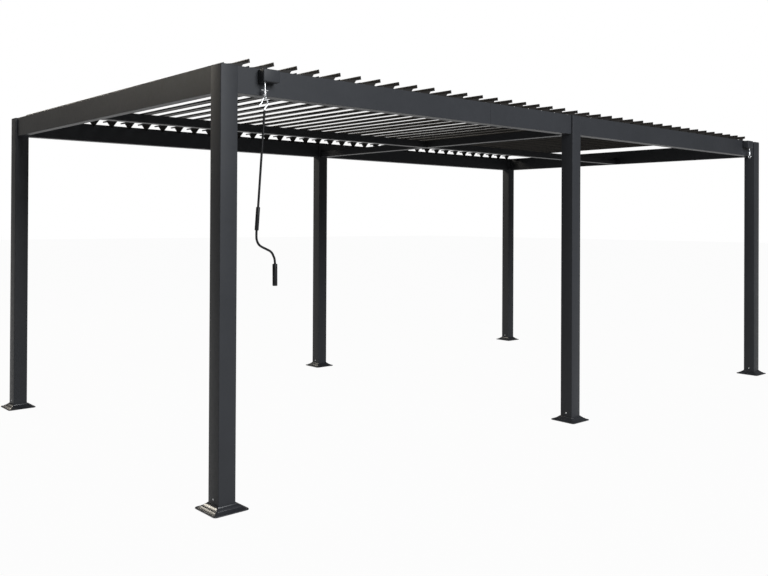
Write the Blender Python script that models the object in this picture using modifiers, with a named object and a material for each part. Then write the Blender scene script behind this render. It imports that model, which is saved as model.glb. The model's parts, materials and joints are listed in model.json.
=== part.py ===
"""A free-standing louvered pergola.

Six posts on foot covers carry a frame of beams. Two banks of louvers turn in
the front and back beams. A gearbox on the front beam drives each bank, and a
crank hangs from the eye of the left gearbox.

Run with: blender --background --python part.py
The origin is on the ground, in the middle of the six posts. +X runs along the
length, +Y from the front to the back and +Z up. All sizes are in metres.
"""

import math

import bmesh
import bpy
from mathutils import Matrix, Vector

# The whole pergola
LENGTH = 6.00
WIDTH = 3.15
HEIGHT = 2.25
GAP = 0.0003

# Posts and their foot covers
POST = 0.10
POST_EDGE = 0.002
POST_START = 0.002
COVER_EDGE = 0.012
COVER_TIERS = (
    # half width at the bottom, half width at the top, bottom, top
    (0.1025, 0.1025, 0.000, 0.007),
    (0.1010, 0.0800, 0.006, 0.017),
    (0.0790, 0.0610, 0.016, 0.028),
    (0.0560, 0.0560, 0.026, 0.033),
)

# Beams
BEAM_HEIGHT = 0.14
BEAM_INSET = 0.013
LONG_BEAM = 0.075
END_BEAM = 0.050
INNER_BEAM = 0.065
INNER_HEIGHT = 0.055
BEAM_EDGE = 0.0015

# Louvers. Across a blade, u runs towards its front bar and v away from its
# underside, both from the pivot.
LOUVERS_IN_BANK = 19
FIRST_PIVOT = 0.1535
LAST_PIVOT = 0.15627
PITCH = (LENGTH - FIRST_PIVOT - LAST_PIVOT) / (2 * LOUVERS_IN_BANK - 1)
PIVOT_DROP = 0.010
REST_TILT_LEFT = math.radians(10.0)
REST_TILT_RIGHT = math.radians(7.5)
BLADE_BACK = 0.069
BLADE_LAP = 0.00821
BLADE_U = (-BLADE_BACK, PITCH + BLADE_LAP - BLADE_BACK)
BLADE_V = 0.039
BLADE = 0.003
BAR = 0.008
BAR_TOP = 0.061
LIP = 0.003
LIP_TOP = 0.050
LOUVER_GAP = 0.018
PLATE = 0.004
PLATE_INSET = 0.0005
PLATE_U = (-0.033, 0.057)
BOSS_RADIUS = 0.011
PIN_RADIUS = 0.004
PIN_IN_BEAM = 0.008
SOCKET_RADIUS = 0.0048
SOCKET_DEPTH = 0.010

# Gearboxes on the front beam
GEARBOX_LENGTH = 0.101
GEARBOX_HEIGHT = 0.067
GEARBOX_DROP = 0.005
GEARBOX_PROUD = 0.058
GEARBOX_FROM_END = 0.226
GEARBOX_EDGE = 0.006
EYE_IN_BOX = 0.023
EYE_PROUD = 0.033

# Eyes under the gearboxes
SHAFT_RADIUS = 0.0045
SHAFT_IN_BOX = 0.015
BORE_RADIUS = 0.0049
BORE_DEPTH = 0.018
BORE_OVERCUT = 0.005
COLLAR_RADIUS = 0.008
COLLAR_DROP = 0.037
CROSS_PIN_RADIUS = 0.0022
CROSS_PIN_LENGTH = 0.040
CROSS_PIN_DROP = 0.042
RING_DROP = 0.0815
RING_RADIUS = 0.0105
RING_WIRE = 0.003

# Crank, which hangs by its hook from the left eye
HOOK_WIRE = 0.0038
HOOK_ARCH = 0.016
HOOK_TIP = (-0.034, -0.043)
HOOK_SHANK = ((0.0185, -0.026), (0.0130, -0.036), (0.0040, -0.046), (-0.0020, -0.056))
ROD_RADIUS = 0.006
ROD_PATH = (
    # from the eye's axis and down from the hook's top
    (-0.002, -0.063), (-0.047, -0.695), (-0.046, -0.725), (-0.037, -0.748),
    (-0.020, -0.764), (0.020, -0.782), (0.043, -0.794), (0.058, -0.815),
    (0.068, -0.850), (0.069, -0.965),
)
SLEEVE_RADIUS = 0.0105
SLEEVE_ON_ROD = (0.885, 0.995)
GRIP_RADIUS = 0.013
GRIP_ON_ROD = (0.06, 1.06)
SLIP_GAP = 0.0005
SLEEVE_OVERCUT = 0.01
HOOK_IN_ROD = 0.02

# Paint and metal, as linear red, green and blue
FRAME_PAINT = (0.065, 0.068, 0.075)
LOUVER_PAINT = (0.045, 0.043, 0.040)
BLACK_PLASTIC = (0.012, 0.012, 0.012)
ZINC = (0.62, 0.63, 0.64)

FRONT = -WIDTH / 2
BACK = WIDTH / 2
LEFT = -LENGTH / 2
RIGHT = LENGTH / 2
PIVOT_HEIGHT = HEIGHT - PIVOT_DROP
LOUVER_REACH = WIDTH / 2 - BEAM_INSET - LONG_BEAM - LOUVER_GAP


def clear_scene():
    for old in list(bpy.data.objects):
        bpy.data.objects.remove(old, do_unlink=True)


def collection(name):
    group = bpy.data.collections.new(name)
    bpy.context.scene.collection.children.link(group)
    return group


def material(name, colour, roughness, metallic):
    made = bpy.data.materials.new(name)
    made.use_nodes = True
    shader = made.node_tree.nodes["Principled BSDF"]
    shader.inputs["Base Color"].default_value = (*colour, 1.0)
    shader.inputs["Roughness"].default_value = roughness
    shader.inputs["Metallic"].default_value = metallic
    made.diffuse_color = (*colour, 1.0)
    return made


def add_object(name, mesh, group):
    made = bpy.data.objects.new(name, mesh)
    group.objects.link(made)
    return made


def paint(piece, colour, roughness=0.45, metallic=0.0):
    piece.data.materials.clear()
    piece.data.materials.append(material(piece.name, colour, roughness, metallic))


def guide(piece):
    """Mark a solid that only cuts, or is joined into, another one."""
    piece.hide_render = True
    piece.display_type = "WIRE"
    return piece


def box(name, low, high, group, edge=0.0):
    """A box between two corners, with its long edges eased by a bevel."""
    low, high = Vector(low), Vector(high)
    shape = bmesh.new()
    bmesh.ops.create_cube(shape, size=1.0, matrix=Matrix.Diagonal((*(high - low), 1.0)))
    mesh = bpy.data.meshes.new(name)
    shape.to_mesh(mesh)
    shape.free()
    piece = add_object(name, mesh, group)
    piece.location = (low + high) / 2
    if edge:
        bevel = piece.modifiers.new("eased edges", "BEVEL")
        bevel.width = edge
        bevel.segments = 1
    return piece


def rods(name, starts, direction, length, radius, sides, group):
    """One mesh of equal round rods that start at the given points."""
    turn = Vector((0, 0, 1)).rotation_difference(Vector(direction)).to_matrix().to_4x4()
    shape = bmesh.new()
    for start in starts:
        middle = Vector(start) + Vector(direction) * length / 2
        bmesh.ops.create_cone(
            shape, cap_ends=True, segments=sides, radius1=radius, radius2=radius,
            depth=length, matrix=Matrix.Translation(middle) @ turn,
        )
    mesh = bpy.data.meshes.new(name)
    shape.to_mesh(mesh)
    shape.free()
    return add_object(name, mesh, group)


def solid_from_curve(curve_object, group):
    """Turn a curve into a closed mesh object in the same place."""
    bpy.context.view_layer.update()
    evaluated = curve_object.evaluated_get(bpy.context.evaluated_depsgraph_get())
    mesh = bpy.data.meshes.new_from_object(evaluated)
    shape = bmesh.new()
    shape.from_mesh(mesh)
    bmesh.ops.remove_doubles(shape, verts=shape.verts, dist=0.00001)
    shape.to_mesh(mesh)
    shape.free()
    name = curve_object.name
    place = curve_object.matrix_world.copy()
    bpy.data.objects.remove(curve_object, do_unlink=True)
    made = add_object(name, mesh, group)
    made.matrix_world = place
    return made


def flat_outline(name, points, thickness, group):
    """A plate with the outline (x, z), centred on y = 0."""
    curve = bpy.data.curves.new(name, "CURVE")
    curve.dimensions = "2D"
    curve.fill_mode = "BOTH"
    curve.extrude = thickness / 2
    spline = curve.splines.new("POLY")
    spline.points.add(len(points) - 1)
    for place, (x, z) in zip(spline.points, points):
        place.co = (x, z, 0.0, 1.0)
    spline.use_cyclic_u = True
    outline = add_object(name, curve, group)
    outline.rotation_euler = (math.pi / 2, 0.0, 0.0)
    return solid_from_curve(outline, group)


def wire(name, points, radius, group):
    """A round wire through the given points."""
    curve = bpy.data.curves.new(name, "CURVE")
    curve.dimensions = "3D"
    curve.bevel_depth = radius
    curve.bevel_resolution = 2
    curve.use_fill_caps = True
    spline = curve.splines.new("POLY")
    spline.points.add(len(points) - 1)
    for place, point in zip(spline.points, points):
        place.co = (*point, 1.0)
    return solid_from_curve(add_object(name, curve, group), group)


def boolean(piece, tool, operation):
    modifier = piece.modifiers.new(tool.name, "BOOLEAN")
    modifier.operation = operation
    modifier.solver = "EXACT"
    modifier.object = guide(tool)


def arc(centre, radius, start, end, steps):
    """Points on an arc, with both ends, from angles in degrees."""
    points = []
    for step in range(steps + 1):
        angle = math.radians(start + (end - start) * step / steps)
        points.append((
            centre[0] + radius * math.cos(angle),
            centre[1] + radius * math.sin(angle),
        ))
    return points


def tier(name, centre, half_low, half_high, low, high, group):
    """One square tier of a foot cover, with rounded corners."""
    shape = bmesh.new()
    bmesh.ops.create_cone(
        shape, cap_ends=True, segments=4, radius1=half_low * math.sqrt(2),
        radius2=half_high * math.sqrt(2), depth=high - low,
        matrix=Matrix.Rotation(math.pi / 4, 4, "Z"),
    )
    corners = [e for e in shape.edges if abs(e.verts[0].co.z - e.verts[1].co.z) > 0.001]
    bmesh.ops.bevel(
        shape, geom=corners, offset=COVER_EDGE, segments=2, profile=0.5,
        affect="EDGES", clamp_overlap=True,
    )
    mesh = bpy.data.meshes.new(name)
    shape.to_mesh(mesh)
    shape.free()
    piece = add_object(name, mesh, group)
    piece.location = (*centre, (low + high) / 2)
    return piece


def build_post(name, centre, parts, cutters):
    half = POST / 2
    x, y = centre
    post = box(
        name, (x - half, y - half, POST_START), (x + half, y + half, HEIGHT), parts, POST_EDGE,
    )
    for number, (half_low, half_high, low, high) in enumerate(COVER_TIERS, start=1):
        step = tier(
            f"{name}_cover_{number}", centre, half_low, half_high, low, high, cutters,
        )
        boolean(post, step, "UNION")
    paint(post, FRAME_PAINT)


def build_posts(parts, cutters):
    columns = (
        ("left", LEFT + POST / 2),
        ("middle", 0.0),
        ("right", RIGHT - POST / 2),
    )
    rows = (("front", FRONT + POST / 2), ("back", BACK - POST / 2))
    for side, y in rows:
        for place, x in columns:
            build_post(f"post_{side}_{place}", (x, y), parts, cutters)


def pivot_x(bank, number):
    """Pivot of a bank's louver, numbered from 0 at the left."""
    return LEFT + FIRST_PIVOT + PITCH * (number + bank * LOUVERS_IN_BANK)


def pin_sockets(cutters):
    """Rods as long as the span between the bottoms of facing sockets."""
    reach = WIDTH / 2 - BEAM_INSET - LONG_BEAM + SOCKET_DEPTH
    starts = [
        (pivot_x(bank, number), -reach, PIVOT_HEIGHT)
        for bank in (0, 1)
        for number in range(LOUVERS_IN_BANK)
    ]
    return rods("pin_sockets", starts, (0, 1, 0), 2 * reach, SOCKET_RADIUS, 8, cutters)


def build_long_beams(parts, cutters):
    """The front and back beams, each in two spans between posts."""
    sockets = pin_sockets(cutters)
    spans = (
        ("left", LEFT + POST + GAP, -POST / 2 - GAP),
        ("right", POST / 2 + GAP, RIGHT - POST - GAP),
    )
    rows = (
        ("front", FRONT + BEAM_INSET, FRONT + BEAM_INSET + LONG_BEAM),
        ("back", BACK - BEAM_INSET - LONG_BEAM, BACK - BEAM_INSET),
    )
    for row, near, far in rows:
        for side, start, end in spans:
            beam = box(
                f"{row}_beam_{side}", (start, near, HEIGHT - BEAM_HEIGHT),
                (end, far, HEIGHT), parts, BEAM_EDGE,
            )
            boolean(beam, sockets, "DIFFERENCE")
            paint(beam, FRAME_PAINT)


def build_end_beams(parts):
    reach = WIDTH / 2 - POST - GAP
    for name, start in (
        ("left_end_beam", LEFT + BEAM_INSET),
        ("right_end_beam", RIGHT - BEAM_INSET - END_BEAM),
    ):
        beam = box(
            name, (start, -reach, HEIGHT - BEAM_HEIGHT),
            (start + END_BEAM, reach, HEIGHT), parts, BEAM_EDGE,
        )
        paint(beam, FRAME_PAINT)


def build_inner_beams(parts):
    """The cross beam between the middle posts, and the mid beams along it."""
    low = HEIGHT - BEAM_HEIGHT
    high = low + INNER_HEIGHT
    half = INNER_BEAM / 2
    reach = WIDTH / 2 - POST - GAP
    outer = LENGTH / 2 - BEAM_INSET - END_BEAM - GAP
    spans = (
        ("cross_beam", (-half, -reach, low), (half, reach, high)),
        ("mid_beam_left", (-outer, -half, low), (-half - GAP, half, high)),
        ("mid_beam_right", (half + GAP, -half, low), (outer, half, high)),
    )
    for name, start, end in spans:
        paint(box(name, start, end, parts, BEAM_EDGE), FRAME_PAINT)


def blade_outline():
    """The blade with its gutter lip and its round-topped front bar."""
    back_edge, front_edge = BLADE_U
    top = BLADE_V + BLADE
    bar_centre = (front_edge - BAR / 2, BAR_TOP - BAR / 2)
    return [
        (back_edge, BLADE_V),
        (front_edge, BLADE_V),
        *arc(bar_centre, BAR / 2, 0, 180, 4),
        (front_edge - BAR, top),
        (back_edge + LIP, top),
        (back_edge + LIP, LIP_TOP),
        (back_edge, LIP_TOP),
    ]


def plate_outline():
    """An end plate, from the blade down to the boss around the pin."""
    overlap = BLADE_V + BLADE / 3
    return [
        (PLATE_U[1], overlap),
        (PLATE_U[0], overlap),
        *arc((0.0, 0.0), BOSS_RADIUS, 205, 335, 5),
    ]


def louver_mesh(cutters):
    """The shape of every louver, around its pivot, with the blade level."""
    blade = flat_outline("louver_shape", blade_outline(), 2 * LOUVER_REACH, cutters)
    plate_at = LOUVER_REACH - PLATE_INSET - PLATE / 2
    pin_end = LOUVER_REACH + LOUVER_GAP + PIN_IN_BEAM
    pin_length = pin_end - plate_at
    for side in (-1, 1):
        plate = flat_outline(f"louver_plate_{side}", plate_outline(), PLATE, cutters)
        plate.location.y = side * plate_at
        boolean(blade, plate, "UNION")
        pin = rods(
            f"louver_pin_{side}", [(0, side * plate_at, 0)], (0, side, 0), pin_length,
            PIN_RADIUS, 8, cutters,
        )
        boolean(blade, pin, "UNION")
    bpy.context.view_layer.update()
    evaluated = blade.evaluated_get(bpy.context.evaluated_depsgraph_get())
    mesh = bpy.data.meshes.new_from_object(evaluated)
    mesh.transform(blade.matrix_world)
    guide(blade)
    return mesh


def build_louvers(parts, cutters):
    shape = louver_mesh(cutters)
    shape.materials.clear()
    for bank, tilt in enumerate((REST_TILT_LEFT, REST_TILT_RIGHT)):
        for number in range(LOUVERS_IN_BANK):
            name = f"louver_{bank * LOUVERS_IN_BANK + number + 1:02d}"
            louver = add_object(name, shape.copy(), parts)
            louver.location = (pivot_x(bank, number), 0.0, PIVOT_HEIGHT)
            louver.rotation_euler.y = -tilt
            paint(louver, LOUVER_PAINT, 0.5)


def gearbox_start(side):
    """Left end of a gearbox, on the left (-1) or the right (1) bank."""
    if side < 0:
        return LEFT + GEARBOX_FROM_END
    return RIGHT - GEARBOX_FROM_END - GEARBOX_LENGTH - GAP


def eye_axis(side):
    """Where an eye's shaft enters its gearbox from below."""
    start = gearbox_start(side)
    x = start + EYE_IN_BOX if side < 0 else start + GEARBOX_LENGTH - EYE_IN_BOX
    return Vector((x, FRONT + BEAM_INSET - EYE_PROUD, HEIGHT - GEARBOX_DROP - GEARBOX_HEIGHT))


def build_gearbox(name, side, parts, cutters):
    start = gearbox_start(side)
    face = FRONT + BEAM_INSET
    top = HEIGHT - GEARBOX_DROP
    gearbox = box(
        name, (start, face - GEARBOX_PROUD, top - GEARBOX_HEIGHT),
        (start + GEARBOX_LENGTH, face - GAP, top), parts, GEARBOX_EDGE,
    )
    axis = eye_axis(side)
    bore_start = axis - Vector((0, 0, BORE_OVERCUT))
    bore = rods(
        f"{name}_bore", [bore_start], (0, 0, 1), BORE_DEPTH + BORE_OVERCUT, BORE_RADIUS, 12,
        cutters,
    )
    boolean(gearbox, bore, "DIFFERENCE")
    paint(gearbox, FRAME_PAINT)


def build_eye(name, side, parts, cutters):
    """A shaft with a collar, a cross pin and the ring that a hook goes through."""
    axis = eye_axis(side)
    top = Vector((0, 0, SHAFT_IN_BOX))
    ring_centre = Vector((0, 0, -RING_DROP))
    ring_top = RING_DROP - RING_RADIUS
    eye = rods(name, [top], (0, 0, -1), SHAFT_IN_BOX + ring_top, SHAFT_RADIUS, 12, parts)
    eye.location = axis
    collar = rods(
        f"{name}_collar", [axis - Vector((0, 0, COLLAR_DROP))], (0, 0, -1),
        ring_top - RING_WIRE / 2 - COLLAR_DROP, COLLAR_RADIUS, 12, cutters,
    )
    boolean(eye, collar, "UNION")
    pin_start = axis + Vector((-CROSS_PIN_LENGTH / 2, 0, -CROSS_PIN_DROP))
    cross_pin = rods(
        f"{name}_pin", [pin_start], (1, 0, 0), CROSS_PIN_LENGTH, CROSS_PIN_RADIUS, 8, cutters,
    )
    boolean(eye, cross_pin, "UNION")
    bpy.ops.mesh.primitive_torus_add(
        location=axis + ring_centre, rotation=(0, math.pi / 2, 0), major_segments=20,
        minor_segments=8, major_radius=RING_RADIUS, minor_radius=RING_WIRE,
    )
    ring = bpy.context.object
    ring.name = f"{name}_ring"
    for group in list(ring.users_collection):
        group.objects.unlink(ring)
    cutters.objects.link(ring)
    boolean(eye, ring, "UNION")
    paint(eye, ZINC, 0.3, 1.0)


def hook_top():
    """Middle of the hook's wire, where it rests in the left eye's ring."""
    lift = RING_RADIUS - RING_WIRE - HOOK_WIRE - GAP
    return eye_axis(-1) - Vector((0, 0, RING_DROP + lift))


def along(start, end, share):
    return start + (end - start) * share


def build_crank(parts, cutters):
    top = hook_top()

    def place(offset):
        return Vector((offset[0], 0.0, offset[1]))

    arch = arc((0.0, -HOOK_ARCH), HOOK_ARCH, 180, 0, 8)
    hook_path = [place(p) for p in (HOOK_TIP, *arch, *HOOK_SHANK, ROD_PATH[0])]
    rod_path = [place(p) for p in ROD_PATH]
    hook_path.append(along(rod_path[0], rod_path[1], HOOK_IN_ROD))

    rod = wire("crank_rod", rod_path, ROD_RADIUS, parts)
    rod.location = top
    hook = wire("crank_hook", hook_path, HOOK_WIRE, cutters)
    hook.location = top
    boolean(rod, hook, "UNION")
    paint(rod, BLACK_PLASTIC, 0.4)

    pieces = (
        ("crank_sleeve", rod_path[0], rod_path[1], SLEEVE_ON_ROD, SLEEVE_RADIUS),
        ("crank_grip", rod_path[-2], rod_path[-1], GRIP_ON_ROD, GRIP_RADIUS),
    )
    for name, start, end, span, radius in pieces:
        low, high = along(start, end, span[0]), along(start, end, span[1])
        way = (high - low).normalized()
        sleeve = rods(name, [low + top], way, (high - low).length, radius, 14, parts)
        bore_start = low + top - way * SLEEVE_OVERCUT
        on_rod = (min(1.0, span[1]) - span[0]) * (end - start).length
        bore_length = on_rod + SLEEVE_OVERCUT + SLIP_GAP
        bore = rods(
            f"{name}_bore", [bore_start], way, bore_length, ROD_RADIUS + SLIP_GAP, 14, cutters,
        )
        boolean(sleeve, bore, "DIFFERENCE")
        paint(sleeve, BLACK_PLASTIC, 0.5)


def main():
    clear_scene()
    parts = collection("louvered_pergola")
    cutters = collection("cutters")
    build_posts(parts, cutters)
    build_long_beams(parts, cutters)
    build_end_beams(parts)
    build_inner_beams(parts)
    build_louvers(parts, cutters)
    build_gearbox("gearbox_left", -1, parts, cutters)
    build_gearbox("gearbox_right", 1, parts, cutters)
    build_eye("gearbox_eye_left", -1, parts, cutters)
    build_eye("gearbox_eye_right", 1, parts, cutters)
    build_crank(parts, cutters)


main()
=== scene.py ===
"""The louvered pergola, finished and staged for a studio picture.

Laid out as an add-on: sizes and colours are scene settings, and each group of
pieces has its own operator. All sizes are in metres. The frame gives the places
of the posts, beams and gearboxes, and the pivots of the louvers, eyes and crank.
"""

import json
import math

import bmesh
import bpy
from bpy.props import FloatProperty, FloatVectorProperty, PointerProperty
from mathutils import Matrix, Vector


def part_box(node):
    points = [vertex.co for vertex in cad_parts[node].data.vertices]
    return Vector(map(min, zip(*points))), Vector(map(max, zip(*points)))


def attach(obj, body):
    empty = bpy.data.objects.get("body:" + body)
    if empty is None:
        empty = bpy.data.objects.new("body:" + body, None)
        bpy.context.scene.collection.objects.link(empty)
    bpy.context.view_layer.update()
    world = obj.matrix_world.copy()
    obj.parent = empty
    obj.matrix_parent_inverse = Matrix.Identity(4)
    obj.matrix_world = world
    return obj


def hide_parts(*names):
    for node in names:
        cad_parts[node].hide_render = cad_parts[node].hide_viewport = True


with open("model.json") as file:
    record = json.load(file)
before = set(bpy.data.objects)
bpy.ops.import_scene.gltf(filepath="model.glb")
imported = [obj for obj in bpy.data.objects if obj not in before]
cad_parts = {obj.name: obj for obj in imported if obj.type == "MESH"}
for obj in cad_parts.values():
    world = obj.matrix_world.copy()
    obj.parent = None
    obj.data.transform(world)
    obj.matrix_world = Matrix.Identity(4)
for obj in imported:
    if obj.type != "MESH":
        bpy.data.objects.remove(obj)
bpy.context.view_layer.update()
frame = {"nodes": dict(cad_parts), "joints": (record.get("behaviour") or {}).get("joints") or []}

bl_info = {
    "name": "Louvered Pergola",
    "version": (1, 0, 0),
    "blender": (4, 5, 0),
    "location": "View3D > Sidebar > Pergola",
    "description": "Builds the posts, louvers, gearboxes and crank of a garden pergola",
    "category": "Add Mesh",
}

ROOT = "frame"
ROWS = ("front", "back")
SIDES = ("left", "right")
COLUMNS = ("left", "middle", "right")
LOUVERS_IN_BANK = 19
LOUVERS = 2 * LOUVERS_IN_BANK
# Edges that bend more than this stay sharp
SMOOTH_ANGLE = math.radians(35)
# The middle of a noise's range, which a surface's roughness is stretched over
NOISE_MIDDLE = (0.3, 0.7)


def joint_place(name):
    """A joint's point at rest."""
    for joint in frame["joints"]:
        if joint["name"] == name:
            return Vector(joint["pos_m"])
    raise ValueError(f"no joint named {name}")


def size(name, default, description, low=0.0):
    """A length that a user may change."""
    return FloatProperty(
        name=name, default=default, description=description, min=low,
        unit="LENGTH", subtype="DISTANCE", precision=4,
    )


def colour(name, default, description):
    """A colour that a user may change, as linear red, green and blue."""
    return FloatVectorProperty(
        name=name, default=default, description=description, subtype="COLOR",
        size=3, min=0.0, max=1.0,
    )


class PaintSettings(bpy.types.PropertyGroup):
    frame_colour: colour("Frame", (0.032, 0.0335, 0.038), "Powder coat of posts and beams")
    louver_colour: colour("Louvers", (0.022, 0.020, 0.019), "Powder coat of the louvers")
    cover_colour: colour("Foot covers", (0.026, 0.027, 0.031), "Plastic of the foot covers")
    plastic_colour: colour("Plastic", (0.010, 0.010, 0.011), "Black of the crank")
    zinc_colour: colour("Zinc", (0.78, 0.79, 0.80), "Plate of the eyes, hook and screws")
    gloss: FloatProperty(
        name="Gloss", default=0.22, min=0.0, max=1.0,
        description="Strength of the powder coat's reflections",
    )
    grain: size("Grain", 0.0011, "Size of the powder coat's orange peel")
    grain_depth: size("Grain depth", 0.00006, "Height of the powder coat's orange peel")


class PostSettings(bpy.types.PropertyGroup):
    corner: size("Corner", 0.0035, "Radius of a post's corners")
    cap_height: size("Cap", 0.004, "Height of the cap on a post")
    cap_reveal: size("Cap reveal", 0.0012, "Shadow gap under the cap")
    cover_corner: size("Cover corner", 0.017, "Radius of a foot cover's corners")
    screw_radius: size("Screw", 0.0042, "Radius of a screw's head")
    screw_lift: size("Screw height", 0.058, "Height of the screws above the ground")


class BeamSettings(bpy.types.PropertyGroup):
    seam_place: size("Seam place", -0.947, "Where the left front beam is butted", low=-10.0)
    seam_width: size("Seam width", 0.0016, "Width of the butt joint's dark line")
    seam_proud: size("Seam proud", 0.0002, "How far the joint's filler stands out")


class LouverSettings(bpy.types.PropertyGroup):
    tilt_left: FloatProperty(
        name="Left tilt", default=math.radians(10.0), subtype="ANGLE",
        description="How far the left bank is open at rest",
    )
    tilt_right: FloatProperty(
        name="Right tilt", default=math.radians(7.5), subtype="ANGLE",
        description="How far the right bank is open at rest",
    )
    back_edge: size("Back edge", -0.069, "Back edge of a blade from its pivot", low=-1.0)
    front_edge: size("Front edge", 0.093, "Front edge of a blade from its pivot")
    lift: size("Lift", 0.039, "Underside of a blade above its pivot")
    blade: size("Blade", 0.003, "Thickness of a blade")
    bar: size("Bar", 0.008, "Thickness of the round-topped front bar")
    bar_top: size("Bar top", 0.0609, "Top of the front bar above the pivot")
    lip: size("Lip", 0.003, "Thickness of the gutter lip")
    lip_top: size("Lip top", 0.050, "Top of the gutter lip above the pivot")
    reach: size("Reach", 1.469, "Half of a blade's length")
    plate: size("End plate", 0.004, "Thickness of an end plate")
    boss: size("Boss", 0.011, "Radius of an end plate around its pin")
    pin: size("Pin", 0.004, "Radius of a pivot pin")
    pin_end: size("Pin end", 1.495, "End of a pin from the middle of the blade")


class DriveSettings(bpy.types.PropertyGroup):
    edge: size("Housing edge", 0.006, "Radius of a gearbox's edges")
    shaft: size("Shaft", 0.0045, "Radius of an eye's shaft")
    collar: size("Collar", 0.008, "Radius of an eye's collar")
    ring: size("Ring", 0.0105, "Radius of an eye's ring")
    ring_wire: size("Ring wire", 0.003, "Radius of the ring's wire")
    ring_drop: size("Ring drop", 0.0815, "Ring's centre below the gearbox")
    hook_wire: size("Hook wire", 0.0038, "Radius of the hook's wire")
    rod: size("Rod", 0.006, "Radius of the crank's rod")
    sleeve: size("Sleeve", 0.0105, "Radius of the sleeve on the rod")
    grip: size("Grip", 0.013, "Radius of the crank's grip")


class StageSettings(bpy.types.PropertyGroup):
    camera_place: FloatVectorProperty(
        name="Camera", default=(-5.1633, -5.2203, 1.4571), subtype="TRANSLATION",
        description="Where the camera stands", unit="LENGTH",
    )
    yaw: FloatProperty(
        name="Yaw", default=0.8479, subtype="ANGLE",
        description="Camera's heading, from +X towards +Y",
    )
    pitch: FloatProperty(
        name="Pitch", default=0.0054, subtype="ANGLE", description="Camera's upward tilt",
    )
    roll: FloatProperty(
        name="Roll", default=0.0049, subtype="ANGLE", description="Camera's lean",
    )
    lens: FloatProperty(
        name="Lens", default=39.13, subtype="DISTANCE_CAMERA",
        description="Focal length on a 36 mm sensor",
    )
    shift_x: FloatProperty(name="Shift X", default=0.0075, description="Sideways lens shift")
    shift_y: FloatProperty(name="Shift Y", default=-0.0918, description="Upward lens shift")
    floor_size: size("Floor", 120.0, "Length and width of the floor")
    sky: FloatProperty(
        name="Sky", default=0.10, min=0.0, description="Strength of the light from all round",
    )
    sky_gloss: FloatProperty(
        name="Sky in gloss", default=0.12, min=0.0, description="How bright the sky reflects",
    )
    floor_gloss: FloatProperty(
        name="Floor in gloss", default=0.75, min=0.0, description="How bright the floor reflects",
    )
    key: FloatProperty(
        name="Key", default=0.72, min=0.0, description="Strength of the cool front lamp",
    )
    fill: FloatProperty(
        name="Fill", default=0.03, min=0.0, description="Strength of the warm lamp on the left",
    )
    rim: FloatProperty(
        name="Rim", default=0.40, min=0.0, description="Strength of the warm lamp at the back",
    )


def settings():
    """The pergola's settings in this scene."""
    return bpy.context.scene.pergola


def new_mesh_object(name, shape):
    """A mesh object from a bmesh, with its normals facing out and round sides smooth."""
    bmesh.ops.recalc_face_normals(shape, faces=shape.faces)
    mesh = bpy.data.meshes.new(name)
    shape.to_mesh(mesh)
    shape.free()
    mesh.shade_smooth()
    mesh.set_sharp_from_angle(angle=SMOOTH_ANGLE)
    piece = bpy.data.objects.new(name, mesh)
    bpy.context.scene.collection.objects.link(piece)
    return piece


def finish(piece, surface, slot, body, *nodes):
    """Give a piece its material and its body, and hide the nodes that it stands for."""
    piece.data.materials.clear()
    piece.data.materials.append(surface)
    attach(piece, body)
    if nodes:
        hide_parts(*nodes)


def arc(centre, radius, start, end, steps):
    """Points on an arc, with both ends, from angles in degrees."""
    points = []
    for step in range(steps + 1):
        angle = math.radians(start + (end - start) * step / steps)
        points.append((
            centre[0] + radius * math.cos(angle),
            centre[1] + radius * math.sin(angle),
        ))
    return points


def circle(radius, sides):
    """Points round a circle."""
    return arc((0, 0), radius, 0, 360, sides)[:-1]


def rounded_square(half, radius, steps):
    """The corners' points of a square, anticlockwise."""
    reach = half - radius
    points = []
    for number, (side_x, side_y) in enumerate(((1, 1), (-1, 1), (-1, -1), (1, -1))):
        centre = (side_x * reach, side_y * reach)
        points += arc(centre, radius, 90 * number, 90 * number + 90, steps)
    return points


def skin(shape, pairs):
    """Quads between each pair of loops with equal numbers of vertices."""
    for low, high in pairs:
        count = len(low)
        for i in range(count):
            j = (i + 1) % count
            shape.faces.new((low[i], low[j], high[j], high[i]))


def add_loft(shape, rings):
    """Skin a row of rings, and close both ends."""
    loops = [[shape.verts.new(point) for point in ring] for ring in rings]
    skin(shape, zip(loops, loops[1:]))
    shape.faces.new(reversed(loops[0]))
    shape.faces.new(loops[-1])


def add_closed_loft(shape, rings):
    """Skin a row of rings whose last one joins the first."""
    loops = [[shape.verts.new(point) for point in ring] for ring in rings]
    skin(shape, zip(loops, loops[1:] + loops[:1]))


def add_prism(shape, outline, near, far):
    """A plate with the outline (x, z), from y = near to y = far."""
    rings = [[(x, y, z) for x, z in outline] for y in (near, far)]
    add_loft(shape, rings)


def add_turned(shape, profile, start, direction, sides):
    """A solid of rings (distance along, radius), turned about an axis."""
    turn = Vector((0, 0, 1)).rotation_difference(Vector(direction)).to_matrix()
    rings = []
    for along, radius in profile:
        rings.append([
            Vector(start) + turn @ Vector((x, y, along))
            for x, y in circle(radius, sides)
        ])
    add_loft(shape, rings)


def add_wire(shape, points, radius, sides):
    """A round wire through points, with flat ends."""
    rings = []
    side = None
    for number, point in enumerate(points):
        before = points[max(number - 1, 0)]
        after = points[min(number + 1, len(points) - 1)]
        way = (after - before).normalized()
        if side is None:
            side = way.orthogonal().normalized()
        side = (side - way * side.dot(way)).normalized()
        other = way.cross(side)
        rings.append([
            point + side * x + other * y
            for x, y in circle(radius, sides)
        ])
    add_loft(shape, rings)


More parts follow.
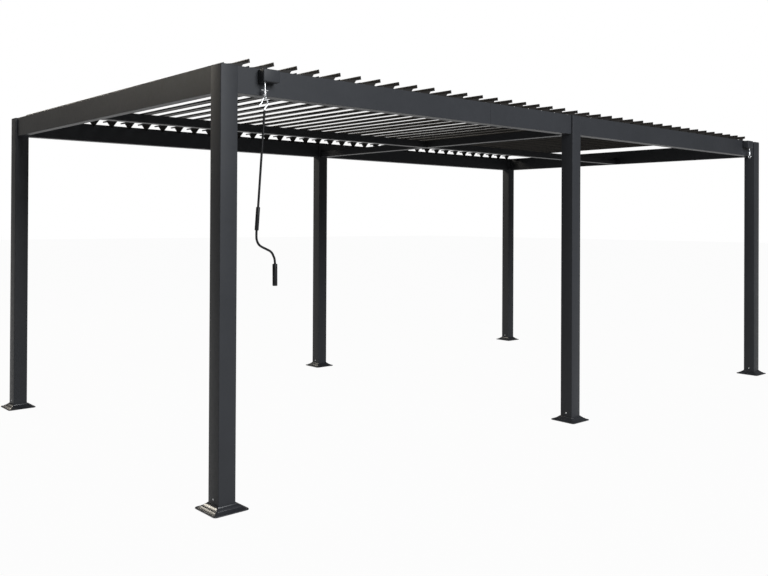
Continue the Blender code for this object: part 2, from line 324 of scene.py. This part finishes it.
def smooth_path(points, steps):
    """A Catmull-Rom curve through the points."""
    ends = [points[0] * 2 - points[1], *points, points[-1] * 2 - points[-2]]
    path = [points[0]]
    for a, b, c, d in zip(ends, ends[1:], ends[2:], ends[3:]):
        for step in range(1, steps + 1):
            t = step / steps
            path.append(0.5 * (
                2 * b + (c - a) * t + (2 * a - 5 * b + 4 * c - d) * t ** 2
                + (3 * b - a - 3 * c + d) * t ** 3
            ))
    return path


class Surface:
    """A material's node tree, with short ways to add to it."""

    def __init__(self, name):
        self.material = bpy.data.materials.new(name)
        self.material.use_nodes = True
        self.tree = self.material.node_tree
        self.shader = self.tree.nodes["Principled BSDF"]
        self.place = self.node("ShaderNodeTexCoord").outputs["Object"]

    def node(self, kind, **values):
        made = self.tree.nodes.new(kind)
        for key, value in values.items():
            setattr(made, key, value)
        return made

    def link(self, output, target):
        self.tree.links.new(output, target)

    def noise(self, scale, detail=2.0, roughness=0.5):
        """Noise over the piece, with its scale in features to the metre."""
        made = self.node("ShaderNodeTexNoise")
        made.inputs["Scale"].default_value = scale
        made.inputs["Detail"].default_value = detail
        made.inputs["Roughness"].default_value = roughness
        self.link(self.place, made.inputs["Vector"])
        return made.outputs["Fac"]

    def ramp(self, value, stops):
        """Colours along a value, from stops (place, colour)."""
        made = self.node("ShaderNodeValToRGB")
        elements = made.color_ramp.elements
        while len(elements) < len(stops):
            elements.new(0.5)
        for element, (position, shade) in zip(elements, stops):
            element.position = position
            element.color = (*shade, 1.0)
        self.link(value, made.inputs["Fac"])
        return made.outputs["Color"]

    def between(self, value, low, high):
        """The middle of a noise's range, stretched from low to high."""
        made = self.node("ShaderNodeMapRange")
        made.inputs["From Min"].default_value = NOISE_MIDDLE[0]
        made.inputs["From Max"].default_value = NOISE_MIDDLE[1]
        made.inputs["To Min"].default_value = low
        made.inputs["To Max"].default_value = high
        self.link(value, made.inputs["Value"])
        return made.outputs["Result"]

    def base_colour(self, value, stops):
        self.link(self.ramp(value, stops), self.shader.inputs["Base Color"])

    def mottle(self, value, base, spread, edges=(0.35, 0.65)):
        """Let the base colour drift to a darker and a lighter neighbour."""
        self.base_colour(value, tuple(zip(edges, shades(base, spread))))

    def roughness(self, value, low, high):
        self.link(self.between(value, low, high), self.shader.inputs["Roughness"])

    def bump(self, height, distance):
        made = self.node("ShaderNodeBump")
        made.inputs["Distance"].default_value = distance
        self.link(height, made.inputs["Height"])
        self.link(made.outputs["Normal"], self.shader.inputs["Normal"])

    def number(self, socket, value):
        self.shader.inputs[socket].default_value = value


def shades(base, spread):
    """Darker and lighter neighbours of a colour."""
    return [
        tuple(min(1.0, part * factor) for part in base)
        for factor in (1 - spread, 1 + spread)
    ]


def powder_coat(name, base, spread, rough):
    """Matt polyester powder coat: orange peel, faint clouding and handling marks."""
    paint = settings().paint
    surface = Surface(name)
    surface.mottle(surface.noise(2.2, detail=4.0, roughness=0.6), base, spread)
    marks = surface.noise(38.0, detail=5.0, roughness=0.65)
    surface.roughness(marks, rough - 0.05, rough + 0.06)
    surface.bump(surface.noise(1.0 / paint.grain, detail=3.0), paint.grain_depth)
    surface.number("Specular IOR Level", paint.gloss)
    return surface.material


def cover_plastic(name):
    """The foot covers' moulded plastic, smoother and glossier than the powder coat."""
    base = settings().paint.cover_colour
    surface = Surface(name)
    surface.mottle(surface.noise(14.0, detail=4.0, roughness=0.6), base, spread=0.10)
    surface.roughness(surface.noise(90.0, detail=4.0), 0.26, 0.36)
    surface.bump(surface.noise(700.0), 0.00003)
    surface.number("Specular IOR Level", 0.6)
    return surface.material


def black_plastic(name):
    """Satin black, for the crank's rod, sleeve and grip and the beam joint's filler."""
    base = settings().paint.plastic_colour
    surface = Surface(name)
    surface.mottle(surface.noise(60.0, detail=3.0), base, spread=0.25, edges=(0.4, 0.6))
    surface.roughness(surface.noise(220.0, detail=3.0), 0.36, 0.5)
    surface.bump(surface.noise(1600.0), 0.00003)
    surface.number("Specular IOR Level", 0.2)
    return surface.material


def zinc_plate(name):
    """Bright zinc plate with a faint mottle."""
    base = settings().paint.zinc_colour
    surface = Surface(name)
    surface.mottle(surface.noise(180.0, detail=4.0, roughness=0.7), base, spread=0.12)
    surface.roughness(surface.noise(420.0, detail=3.0), 0.22, 0.36)
    surface.bump(surface.noise(900.0), 0.00002)
    surface.number("Metallic", 1.0)
    return surface.material


def named_surface(name, make, **values):
    """The material of that name, made the first time it is asked for."""
    return bpy.data.materials.get(name) or make(name, **values)


def frame_paint():
    return named_surface(
        "frame powder coat", powder_coat,
        base=settings().paint.frame_colour, spread=0.07, rough=0.44,
    )


def louver_paint():
    return named_surface(
        "louver powder coat", powder_coat,
        base=settings().paint.louver_colour, spread=0.10, rough=0.40,
    )


def cover_finish():
    return named_surface("foot cover plastic", cover_plastic)


def plastic():
    return named_surface("black plastic", black_plastic)


def zinc():
    return named_surface("zinc plate", zinc_plate)


# A post: half its width, and the height where it starts inside its foot cover
POST_HALF = 0.05
POST_START = 0.006
POST_CORNER_STEPS = 4
# The rounded top edge of a post's cap, in two steps
CAP_EDGE = 0.0012
CAP_EASE = 0.0004
# Profile of a foot cover: half width and height at each turn of the surface
COVER_PROFILE = (
    (0.1010, 0.0000), (0.1025, 0.0012), (0.1025, 0.0048), (0.1012, 0.0064),
    (0.0962, 0.0070), (0.0948, 0.0062), (0.0934, 0.0070), (0.0895, 0.0076),
    (0.0800, 0.0154), (0.0786, 0.0160), (0.0768, 0.0160), (0.0762, 0.0152),
    (0.0748, 0.0152), (0.0740, 0.0166), (0.0622, 0.0264), (0.0606, 0.0272),
    (0.0588, 0.0268), (0.0572, 0.0274), (0.0560, 0.0312), (0.0548, 0.0328),
    (0.0530, 0.0330), (0.0502, 0.0318),
)
COVER_HALF = max(width for width, height in COVER_PROFILE)
COVER_CORNER_STEPS = 6
# A pan head and its washer: distance out from the post, and share of the head's
# radius. The last three turns are the recess.
SCREW_PROFILE = (
    (-0.0004, 1.25), (0.0006, 1.25), (0.0008, 1.0), (0.0018, 0.95), (0.0026, 0.7),
    (0.0028, 0.32), (0.0016, 0.28), (0.0015, 0.1),
)


def add_screw(shape, place, direction, radius):
    """A pan head with a washer, seated on a face."""
    profile = [(along, radius * share) for along, share in SCREW_PROFILE]
    add_turned(shape, profile, place, direction, sides=16)


class PERGOLA_OT_posts(bpy.types.Operator):
    """Build the six posts with their caps, foot covers and screws"""

    bl_idname = "pergola.posts"
    bl_label = "Posts"

    def execute(self, context):
        for row in ROWS:
            for column in COLUMNS:
                self.build(f"post_{row}_{column}")
        return {"FINISHED"}

    def build(self, node):
        post = settings().post
        low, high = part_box(node)
        middle = (low + high) / 2
        top = high.z
        cap_bottom = top - post.cap_height
        shaft_top = cap_bottom - post.cap_reveal
        shape = bmesh.new()
        add_loft(shape, self.rings(middle, (
            (0.0, POST_START),
            (0.0, shaft_top),
            (-post.cap_reveal, shaft_top),
            (-post.cap_reveal, cap_bottom),
            (0.0, cap_bottom),
            (0.0, top - CAP_EDGE),
            (-CAP_EASE, top - CAP_EASE),
            (-CAP_EDGE, top),
        )))
        shaft = new_mesh_object(f"{node}_shaft", shape)
        finish(shaft, frame_paint(), "frame_paint", ROOT, node)

        shape = bmesh.new()
        add_loft(shape, [
            [(middle.x + x, middle.y + y, height)
             for x, y in rounded_square(width, self.cover_radius(width), COVER_CORNER_STEPS)]
            for width, height in COVER_PROFILE
        ])
        cover = new_mesh_object(f"{node}_foot_cover", shape)
        finish(cover, cover_finish(), "frame_paint", ROOT)

        shape = bmesh.new()
        for way in ((1, 0, 0), (-1, 0, 0)):
            direction = Vector(way)
            place = Vector((middle.x, middle.y, post.screw_lift)) + direction * POST_HALF
            add_screw(shape, place, direction, post.screw_radius)
        screws = new_mesh_object(f"{node}_screws", shape)
        finish(screws, zinc(), "zinc", ROOT)

    @staticmethod
    def rings(middle, turns):
        """A post's rings, each at a distance out from its faces and at a height."""
        radius = settings().post.corner
        return [
            [(middle.x + x, middle.y + y, height)
             for x, y in rounded_square(POST_HALF + out, radius + out, POST_CORNER_STEPS)]
            for out, height in turns
        ]

    @staticmethod
    def cover_radius(width):
        """The corners get tighter from the rim up to the post."""
        post = settings().post
        share = (width - POST_HALF) / (COVER_HALF - POST_HALF)
        return post.corner + (post.cover_corner - post.corner) * max(0.0, share)


class PERGOLA_OT_beams(bpy.types.Operator):
    """Paint the beams and add the butt joint in the left front beam"""

    bl_idname = "pergola.beams"
    bl_label = "Beams"

    def execute(self, context):
        nodes = ["left_end_beam", "right_end_beam", "cross_beam"]
        nodes += [f"{row}_beam_{side}" for row in ("mid", *ROWS) for side in SIDES]
        for node in nodes:
            mesh = frame["nodes"][node].data
            mesh.materials.clear()
            mesh.materials.append(frame_paint())
        self.seam("front_beam_left")
        return {"FINISHED"}

    def seam(self, node):
        """The dark filler where two lengths of a beam meet, flush along the top."""
        beam = settings().beam
        low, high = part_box(node)
        front = low.y - beam.seam_proud
        back = high.y + beam.seam_proud
        bottom = low.z - beam.seam_proud
        outline = ((front, bottom), (back, bottom), (back, high.z), (front, high.z))
        half = beam.seam_width / 2
        shape = bmesh.new()
        add_loft(shape, [
            [(x, y, z) for y, z in outline]
            for x in (beam.seam_place - half, beam.seam_place + half)
        ])
        finish(new_mesh_object(f"{node}_seam", shape), plastic(), "black_plastic", ROOT)


# Turns in a louver's section: its outer corners, its bends and the bar's foot
BLADE_CORNER = 0.0008
BLADE_BEND = 0.0015
BAR_BEND = 0.002
# An end plate: its reach back and forward of the pivot, the arc of its round foot in
# degrees, and how far it stands in from the blade's end
PLATE_SPAN = (-0.033, 0.057)
PLATE_FOOT = (205, 335)
PLATE_INSET = 0.0005
# The hub outside an end plate: heights above the plate, and radii as shares of the
# boss
HUB_HEIGHTS = (0.006, 0.007, 0.0072)
HUB_SHARES = (0.62, 0.52)


class PERGOLA_OT_louvers(bpy.types.Operator):
    """Build both banks of louvers on their pivots"""

    bl_idname = "pergola.louvers"
    bl_label = "Louvers"

    def execute(self, context):
        louver = settings().louver
        for number in range(1, LOUVERS + 1):
            name = f"louver_{number:02d}"
            tilt = louver.tilt_left if number <= LOUVERS_IN_BANK else louver.tilt_right
            shape = self.shape()
            place = Matrix.Translation(joint_place(f"{name}_turn"))
            turn = Matrix.Rotation(-tilt, 4, "Y")
            bmesh.ops.transform(shape, matrix=place @ turn, verts=shape.verts)
            piece = new_mesh_object(f"{name}_blade", shape)
            finish(piece, louver_paint(), "louver_paint", name, name)
        return {"FINISHED"}

    def shape(self):
        """A level louver around its pivot."""
        louver = settings().louver
        shape = bmesh.new()
        add_prism(shape, self.blade_outline(), -louver.reach, louver.reach)
        wide, narrow = (louver.boss * share for share in HUB_SHARES)
        rim, bevel, face = (louver.plate + height for height in HUB_HEIGHTS)
        pin_length = louver.pin_end - louver.reach + louver.plate
        hub_and_pin = (
            (0.0, wide), (rim, wide), (bevel, narrow), (face, louver.pin),
            (pin_length, louver.pin),
        )
        for side in (-1, 1):
            outer = side * (louver.reach - PLATE_INSET)
            inner = outer - side * louver.plate
            add_prism(shape, self.plate_outline(), min(inner, outer), max(inner, outer))
            add_turned(shape, hub_and_pin, (0, inner, 0), (0, side, 0), sides=20)
        return shape

    @staticmethod
    def blade_outline():
        """The blade's section (x, z) from its pivot, with its lip and front bar."""
        louver = settings().louver
        bottom = louver.lift
        top = bottom + louver.blade
        front = louver.front_edge
        bar_back = front - louver.bar
        back = louver.back_edge
        lip_front = back + louver.lip
        radius = louver.bar / 2
        return [
            (back + BLADE_CORNER, bottom),
            (front - BLADE_BEND, bottom),
            (front, bottom + BLADE_BEND),
            *arc((front - radius, louver.bar_top - radius), radius, 0, 180, steps=10),
            (bar_back, top + BAR_BEND),
            (bar_back - BAR_BEND, top),
            (lip_front + BLADE_BEND, top),
            (lip_front, top + BLADE_BEND),
            (lip_front, louver.lip_top - BLADE_CORNER),
            (lip_front - BLADE_CORNER, louver.lip_top),
            (back + BLADE_CORNER, louver.lip_top),
            (back, louver.lip_top - BLADE_CORNER),
            (back, bottom + BLADE_CORNER),
        ]

    @staticmethod
    def plate_outline():
        """A triangle from the blade down to a round foot about the pin."""
        louver = settings().louver
        top = louver.lift + louver.blade / 3
        back, front = PLATE_SPAN
        foot = arc((0, 0), louver.boss, *PLATE_FOOT, steps=12)
        return [(front, top), (back, top), *foot]


# An eye, as distances down from its gearbox: where the shaft starts and ends, and
# the collar's turns with how far each is cut back
EYE_SHAFT = (-0.015, 0.036)
EYE_COLLAR = (
    (0.0370, 0.0010), (0.0385, 0.0), (0.0470, 0.0), (0.0490, 0.0012),
    (0.0510, 0.0012), (0.0530, 0.0),
)
# The collar's end: distance above the ring's top, and how far it is cut back
EYE_COLLAR_END = ((0.0060, 0.0), (0.0015, 0.0020))
# The cross pin: distance below the gearbox, and its turns (distance along, radius)
CROSS_PIN_DROP = 0.042
CROSS_PIN = ((-0.0200, 0.0012), (-0.0192, 0.0022), (0.0192, 0.0022), (0.0200, 0.0012))
RING_STEPS = 40


class PERGOLA_OT_gearboxes(bpy.types.Operator):
    """Build the gearbox housings and their eyes"""

    bl_idname = "pergola.gearboxes"
    bl_label = "Gearboxes"

    def execute(self, context):
        for side in SIDES:
            self.housing(f"gearbox_{side}")
            self.eye(f"gearbox_eye_{side}", f"eye_{side}")
        return {"FINISHED"}

    def housing(self, node):
        drive = settings().drive
        low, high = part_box(node)
        shape = bmesh.new()
        bmesh.ops.create_cube(shape, size=1.0, matrix=(
            Matrix.Translation((low + high) / 2) @ Matrix.Diagonal((*(high - low), 1.0))
        ))
        bmesh.ops.bevel(
            shape, geom=list(shape.edges), offset=drive.edge, segments=4, profile=0.5,
            affect="EDGES",
        )
        housing = new_mesh_object(f"{node}_housing", shape)
        finish(housing, frame_paint(), "frame_paint", ROOT, node)

    def eye(self, node, body):
        drive = settings().drive
        axis = joint_place(f"{body}_turn")
        ring_top = drive.ring_drop - drive.ring
        shape = bmesh.new()
        profile = (
            *((down, drive.shaft) for down in EYE_SHAFT),
            *((down, drive.collar - cut) for down, cut in EYE_COLLAR),
            *((ring_top - above, drive.collar - cut) for above, cut in EYE_COLLAR_END),
        )
        add_turned(shape, profile, axis, (0, 0, -1), sides=24)
        pin_middle = axis - Vector((0, 0, CROSS_PIN_DROP))
        add_turned(shape, CROSS_PIN, pin_middle, (1, 0, 0), sides=14)
        finish(new_mesh_object(f"{node}_shaft", shape), zinc(), "zinc", body, node)

        shape = bmesh.new()
        centre = axis - Vector((0, 0, drive.ring_drop))
        rings = []
        for step in range(RING_STEPS):
            angle = 2 * math.pi * step / RING_STEPS
            way = Vector((0, math.cos(angle), math.sin(angle)))
            rings.append([
                centre + way * (drive.ring + x) + Vector((y, 0, 0))
                for x, y in circle(drive.ring_wire, sides=14)
            ])
        add_closed_loft(shape, rings)
        finish(new_mesh_object(f"{node}_ring", shape), zinc(), "zinc", body)


# The crank's wire, as (x, z) from the hook's top. The hook's arch has a radius, and
# the angles in degrees where it starts and ends.
HOOK_ARCH = 0.016
HOOK_ARCH_TURN = (170, 0)
HOOK_TIP = ((-0.034, -0.043), (-0.027, -0.033), (-0.0195, -0.024))
HOOK_SHANK = ((0.0185, -0.026), (0.0130, -0.036), (0.0040, -0.046), (-0.0020, -0.056))
ROD_PATH = (
    (-0.002, -0.063), (-0.047, -0.695), (-0.046, -0.725), (-0.037, -0.748),
    (-0.020, -0.764), (0.020, -0.782), (0.043, -0.794), (0.058, -0.815),
    (0.068, -0.850), (0.069, -0.965),
)
# How far the hook's wire runs into the rod, and where the sleeve and the grip start
# and end, all as shares of their stretch of rod
HOOK_IN_ROD = 0.02
SLEEVE_ON_ROD = (0.79, 0.98)
GRIP_ON_ROD = (0.06, 1.06)
# The rounding of their ends, and its middle step as a share of it
SLEEVE_EASE = 0.003
EASE_STEP = 0.3
ROD_STEPS = 12


class PERGOLA_OT_crank(bpy.types.Operator):
    """Build the crank with its hook, sleeve and grip"""

    bl_idname = "pergola.crank"
    bl_label = "Crank"

    def execute(self, context):
        drive = settings().drive
        arch = arc((0.0, -HOOK_ARCH), HOOK_ARCH, *HOOK_ARCH_TURN, steps=10)
        hook = self.places((*HOOK_TIP, *arch, *HOOK_SHANK, ROD_PATH[0]))
        rod = self.places(ROD_PATH)
        hook.append(rod[0].lerp(rod[1], HOOK_IN_ROD))

        shape = bmesh.new()
        add_wire(shape, smooth_path(hook, steps=5), drive.hook_wire, sides=16)
        finish(new_mesh_object("crank_hook", shape), zinc(), "zinc", "crank")

        shape = bmesh.new()
        straight = [rod[0].lerp(rod[1], step / ROD_STEPS) for step in range(ROD_STEPS)]
        add_wire(shape, straight + smooth_path(rod[1:], steps=8), drive.rod, sides=20)
        tube = new_mesh_object("crank_tube", shape)
        finish(tube, plastic(), "black_plastic", "crank", "crank_rod")

        self.sleeve("crank_sleeve", rod[0], rod[1], *SLEEVE_ON_ROD, drive.sleeve)
        self.sleeve("crank_grip", rod[-2], rod[-1], *GRIP_ON_ROD, drive.grip)
        return {"FINISHED"}

    @staticmethod
    def places(offsets):
        """Points at (x, z) from the hook's top."""
        top = joint_place("crank_swing")
        return [top + Vector((x, 0.0, z)) for x, z in offsets]

    @staticmethod
    def sleeve(node, start, end, low, high, radius):
        """A tube with rounded ends on a stretch of rod, from share low to share high."""
        first = start.lerp(end, low)
        last = start + (end - start) * high
        length = (last - first).length
        ease = SLEEVE_EASE
        step = ease * EASE_STEP
        profile = (
            (0.0, radius - ease), (step, radius - step), (ease, radius),
            (length - ease, radius), (length - step, radius - step), (length, radius - ease),
        )
        shape = bmesh.new()
        add_turned(shape, profile, first, (last - first).normalized(), sides=28)
        tube = new_mesh_object(f"{node}_tube", shape)
        finish(tube, plastic(), "black_plastic", "crank", node)


# The floor: how far it lies below the feet, its shades, and how bright the camera
# sees it
FLOOR_DROP = 0.0005
FLOOR_SHADES = ((0.3, (0.24, 0.24, 0.23)), (0.7, (0.27, 0.27, 0.26)))
FLOOR_SEEN = 0.97
SKY_TINT = (0.96, 0.98, 1.0, 1.0)
WHITE = (1.0, 1.0, 1.0, 1.0)
# Each lamp's name, place, width and tint, and the point they all face
LAMPS = (
    ("cool key", (-1.5, -10.0, 6.0), 5.0, (0.95, 0.98, 1.0)),
    ("warm fill", (-6.5, 1.0, 4.0), 2.5, (1.0, 0.94, 0.86)),
    ("warm rim", (-4.6, 8.0, 6.5), 3.0, (1.0, 0.93, 0.80)),
)
LAMP_AIM = (0.0, 0.0, 1.2)
SENSOR_WIDTH = 36.0
VIEW_DISTANCE = 500.0


class PERGOLA_OT_stage(bpy.types.Operator):
    """Set up the floor, the soft light and the camera"""

    bl_idname = "pergola.stage"
    bl_label = "Stage"

    def execute(self, context):
        context.scene.view_settings.view_transform = "Standard"
        self.floor()
        self.world(context.scene)
        stage = settings().stage
        for strength, lamp in zip((stage.key, stage.fill, stage.rim), LAMPS):
            self.lamp(strength, *lamp)
        self.camera(context.scene)
        return {"FINISHED"}

    def floor(self):
        """A matt floor that the camera sees as nearly white, with a trace of shadow."""
        stage = settings().stage
        shape = bmesh.new()
        bmesh.ops.create_grid(shape, x_segments=4, y_segments=4, size=stage.floor_size / 2)
        mesh = bpy.data.meshes.new("floor")
        shape.to_mesh(mesh)
        shape.free()
        floor = bpy.data.objects.new("floor", mesh)
        bpy.context.scene.collection.objects.link(floor)
        floor.location.z = -FLOOR_DROP
        surface = Surface("pale floor")
        surface.base_colour(surface.noise(0.6, detail=3.0), FLOOR_SHADES)
        surface.number("Roughness", 0.9)
        surface.number("Specular IOR Level", 0.0)
        glow = surface.node("ShaderNodeEmission")
        glow.inputs["Strength"].default_value = 1.0
        path = surface.node("ShaderNodeLightPath")
        seen = []
        for ray, share in (("Is Camera Ray", FLOOR_SEEN), ("Is Glossy Ray", stage.floor_gloss)):
            part = surface.node("ShaderNodeMath", operation="MULTIPLY")
            surface.link(path.outputs[ray], part.inputs[0])
            part.inputs[1].default_value = share
            seen.append(part.outputs[0])
        either = surface.node("ShaderNodeMath", operation="MAXIMUM")
        surface.link(seen[0], either.inputs[0])
        surface.link(seen[1], either.inputs[1])
        mix = surface.node("ShaderNodeMixShader")
        surface.link(either.outputs[0], mix.inputs["Fac"])
        surface.link(surface.shader.outputs["BSDF"], mix.inputs[1])
        surface.link(glow.outputs["Emission"], mix.inputs[2])
        output = surface.tree.nodes["Material Output"]
        surface.link(mix.outputs["Shader"], output.inputs["Surface"])
        floor.data.materials.append(surface.material)

    def world(self, scene):
        """An even sky, with its own strength in gloss, that the camera sees as white."""
        stage = settings().stage
        world = bpy.data.worlds.new("studio")
        scene.world = world
        world.use_nodes = True
        tree = world.node_tree
        tree.nodes.clear()
        output = tree.nodes.new("ShaderNodeOutputWorld")
        light = self.background(tree, SKY_TINT, stage.sky)
        mirrored = self.background(tree, SKY_TINT, stage.sky_gloss)
        white = self.background(tree, WHITE, 1.0)
        path = tree.nodes.new("ShaderNodeLightPath")
        gloss = tree.nodes.new("ShaderNodeMixShader")
        mix = tree.nodes.new("ShaderNodeMixShader")
        tree.links.new(path.outputs["Is Glossy Ray"], gloss.inputs["Fac"])
        tree.links.new(light.outputs["Background"], gloss.inputs[1])
        tree.links.new(mirrored.outputs["Background"], gloss.inputs[2])
        tree.links.new(path.outputs["Is Camera Ray"], mix.inputs["Fac"])
        tree.links.new(gloss.outputs["Shader"], mix.inputs[1])
        tree.links.new(white.outputs["Background"], mix.inputs[2])
        tree.links.new(mix.outputs["Shader"], output.inputs["Surface"])

    @staticmethod
    def background(tree, tint, strength):
        made = tree.nodes.new("ShaderNodeBackground")
        made.inputs["Color"].default_value = tint
        made.inputs["Strength"].default_value = strength
        return made

    def lamp(self, strength, name, place, width, tint):
        """A square lamp aimed at the pergola; its power grows with its distance."""
        data = bpy.data.lights.new(name, "AREA")
        data.shape = "SQUARE"
        data.size = width
        data.color = tint
        lamp = bpy.data.objects.new(name, data)
        lamp.visible_camera = False
        lamp.location = place
        aim = Vector(LAMP_AIM) - Vector(place)
        data.energy = strength * 4 * math.pi * aim.length_squared
        lamp.rotation_euler = aim.to_track_quat("-Z", "Y").to_euler()
        bpy.context.scene.collection.objects.link(lamp)

    def camera(self, scene):
        """The camera at the photograph's place, heading and lens shift."""
        stage = settings().stage
        data = bpy.data.cameras.new("camera")
        data.sensor_width = SENSOR_WIDTH
        data.lens = stage.lens
        data.shift_x = stage.shift_x
        data.shift_y = stage.shift_y
        data.clip_end = VIEW_DISTANCE
        camera = bpy.data.objects.new("camera", data)
        ahead = Vector((
            math.cos(stage.yaw) * math.cos(stage.pitch),
            math.sin(stage.yaw) * math.cos(stage.pitch), math.sin(stage.pitch),
        ))
        level = Vector((math.sin(stage.yaw), -math.cos(stage.yaw), 0.0))
        up = level.cross(ahead)
        right = level * math.cos(stage.roll) + up * math.sin(stage.roll)
        camera_up = up * math.cos(stage.roll) - level * math.sin(stage.roll)
        turn = Matrix((right, camera_up, -ahead)).transposed()
        camera.matrix_world = Matrix.Translation(stage.camera_place) @ turn.to_4x4()
        scene.collection.objects.link(camera)
        scene.camera = camera


class PergolaSettings(bpy.types.PropertyGroup):
    paint: PointerProperty(type=PaintSettings, name="Paint", description="Colours and grain")
    post: PointerProperty(type=PostSettings, name="Posts", description="Sizes of the posts")
    beam: PointerProperty(type=BeamSettings, name="Beams", description="The front butt joint")
    louver: PointerProperty(type=LouverSettings, name="Louvers", description="Sizes of a louver")
    drive: PointerProperty(type=DriveSettings, name="Drive", description="Gearboxes and crank")
    stage: PointerProperty(type=StageSettings, name="Stage", description="Camera and light")


class PERGOLA_PT_panel(bpy.types.Panel):
    """The pergola's pieces, in the order they are built"""

    bl_idname = "PERGOLA_PT_panel"
    bl_label = "Pergola"
    bl_space_type = "VIEW_3D"
    bl_region_type = "UI"
    bl_category = "Pergola"

    def draw(self, context):
        for operator in OPERATORS:
            self.layout.operator(operator.bl_idname)


OPERATORS = (
    PERGOLA_OT_stage,
    PERGOLA_OT_posts,
    PERGOLA_OT_beams,
    PERGOLA_OT_louvers,
    PERGOLA_OT_gearboxes,
    PERGOLA_OT_crank,
)

CLASSES = (
    PaintSettings,
    PostSettings,
    BeamSettings,
    LouverSettings,
    DriveSettings,
    StageSettings,
    PergolaSettings,
    *OPERATORS,
    PERGOLA_PT_panel,
)


def register():
    for item in CLASSES:
        bpy.utils.register_class(item)
    bpy.types.Scene.pergola = PointerProperty(type=PergolaSettings)


def unregister():
    del bpy.types.Scene.pergola
    for item in reversed(CLASSES):
        bpy.utils.unregister_class(item)


def main():
    register()
    bpy.ops.pergola.stage()
    bpy.ops.pergola.posts()
    bpy.ops.pergola.beams()
    bpy.ops.pergola.louvers()
    bpy.ops.pergola.gearboxes()
    bpy.ops.pergola.crank()


if __name__ == "__main__":
    main()
